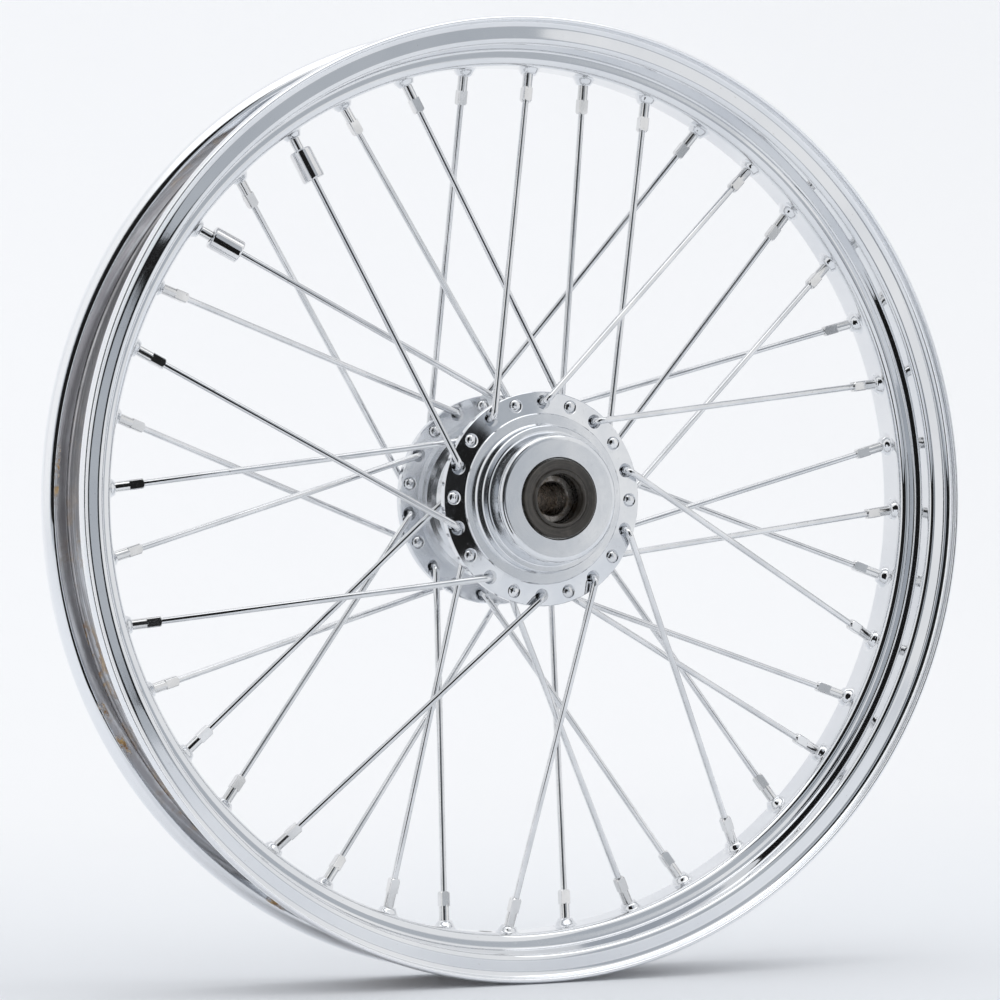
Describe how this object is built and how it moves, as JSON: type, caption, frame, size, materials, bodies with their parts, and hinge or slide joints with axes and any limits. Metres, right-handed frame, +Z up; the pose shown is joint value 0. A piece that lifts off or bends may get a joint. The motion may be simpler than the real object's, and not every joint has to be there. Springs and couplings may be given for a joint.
{
  "type": "spoked motorcycle wheel",
  "caption": "Laced front wheel: drop-centre rim with raised bosses, bent wire spokes and a stepped, flanged hub turning on sealed ball bearings.",
  "frame": {"origin": "on the spin axis, in the middle of the rim's width", "axes": "+Y along the spin axis towards the brake side, the stepped nose at -Y; +Z up with the valve hole near the bottom; +X to the right as seen from the nose side"},
  "size_m": [0.563, 0.1162, 0.563],
  "materials": {
    "chromed_steel": "bright plating with light rust staining on the tyre side",
    "polished_alloy": "mirror-polished, with fine turning marks and dull patches",
    "plated_nipples": "bright zinc plating, slightly dulled",
    "stainless_spokes": "bright drawn wire",
    "seal_rubber": "satin black with a dusty rib",
    "bearing_steel": "ground steel with a film of grease",
    "cage_brass": "machined",
    "shield_steel": "pressed sheet",
    "tube_steel": "drawn tube with a film of grease",
    "weight_metal": "turned and plated, with small dents",
    "dark_screws": "blackened"
  },
  "bodies": {
    "axle_core": {"axle_spacer_tube": "tube_steel", "front_bearing_inner_race": "bearing_steel", "rear_bearing_inner_race": "bearing_steel"},
    "wheel": {"rim": "chromed_steel", "hub_shell": "polished_alloy", "front_nipples": "plated_nipples", "rear_nipples": "plated_nipples", "front_oil_seal": "seal_rubber", "front_bearing_outer_race": "bearing_steel", "front_bearing_shields": "shield_steel", "rear_oil_seal": "seal_rubber", "rear_bearing_outer_race": "bearing_steel", "rear_bearing_shields": "shield_steel", "upper_balance_weight": "weight_metal", "lower_balance_weight": "weight_metal", "balance_weight_screws": "dark_screws", "front_outer_spoke_01": "stainless_spokes", "front_outer_spoke_02": "stainless_spokes", "front_outer_spoke_03": "stainless_spokes", "front_outer_spoke_04": "stainless_spokes", "front_outer_spoke_05": "stainless_spokes", "front_outer_spoke_06": "stainless_spokes", "front_outer_spoke_07": "stainless_spokes", "front_outer_spoke_08": "stainless_spokes", "front_outer_spoke_09": "stainless_spokes", "front_outer_spoke_10": "stainless_spokes", "front_inner_spoke_01": "stainless_spokes", "front_inner_spoke_02": "stainless_spokes", "front_inner_spoke_03": "stainless_spokes", "front_inner_spoke_04": "stainless_spokes", "front_inner_spoke_05": "stainless_spokes", "front_inner_spoke_06": "stainless_spokes", "front_inner_spoke_07": "stainless_spokes", "front_inner_spoke_08": "stainless_spokes", "front_inner_spoke_09": "stainless_spokes", "front_inner_spoke_10": "stainless_spokes", "rear_outer_spoke_01": "stainless_spokes", "rear_outer_spoke_02": "stainless_spokes", "rear_outer_spoke_03": "stainless_spokes", "rear_outer_spoke_04": "stainless_spokes", "rear_outer_spoke_05": "stainless_spokes", "rear_outer_spoke_06": "stainless_spokes", "rear_outer_spoke_07": "stainless_spokes", "rear_outer_spoke_08": "stainless_spokes", "rear_outer_spoke_09": "stainless_spokes", "rear_outer_spoke_10": "stainless_spokes", "rear_inner_spoke_01": "stainless_spokes", "rear_inner_spoke_02": "stainless_spokes", "rear_inner_spoke_03": "stainless_spokes", "rear_inner_spoke_04": "stainless_spokes", "rear_inner_spoke_05": "stainless_spokes", "rear_inner_spoke_06": "stainless_spokes", "rear_inner_spoke_07": "stainless_spokes", "rear_inner_spoke_08": "stainless_spokes", "rear_inner_spoke_09": "stainless_spokes", "rear_inner_spoke_10": "stainless_spokes"},
    "front_ball_set": {"front_bearing_balls": "bearing_steel", "front_bearing_cage": "cage_brass"},
    "rear_ball_set": {"rear_bearing_balls": "bearing_steel", "rear_bearing_cage": "cage_brass"}
  },
  "joints": [
    {"name": "wheel_spin", "type": "hinge", "parent": "axle_core", "child": "wheel", "pos_m": [0, 0, 0], "axis": [0, 1, 0], "continuous": true},
    {"name": "front_ball_roll", "type": "hinge", "parent": "axle_core", "child": "front_ball_set", "pos_m": [0, -0.0423, 0], "axis": [0, 1, 0], "continuous": true},
    {"name": "rear_ball_roll", "type": "hinge", "parent": "axle_core", "child": "rear_ball_set", "pos_m": [0, 0.0355, 0], "axis": [0, 1, 0], "continuous": true}
  ],
  "couplings": [
    {"joint": "front_ball_roll", "follows": "wheel_spin", "ratio": 0.6185},
    {"joint": "rear_ball_roll", "follows": "wheel_spin", "ratio": 0.6185}
  ]
}
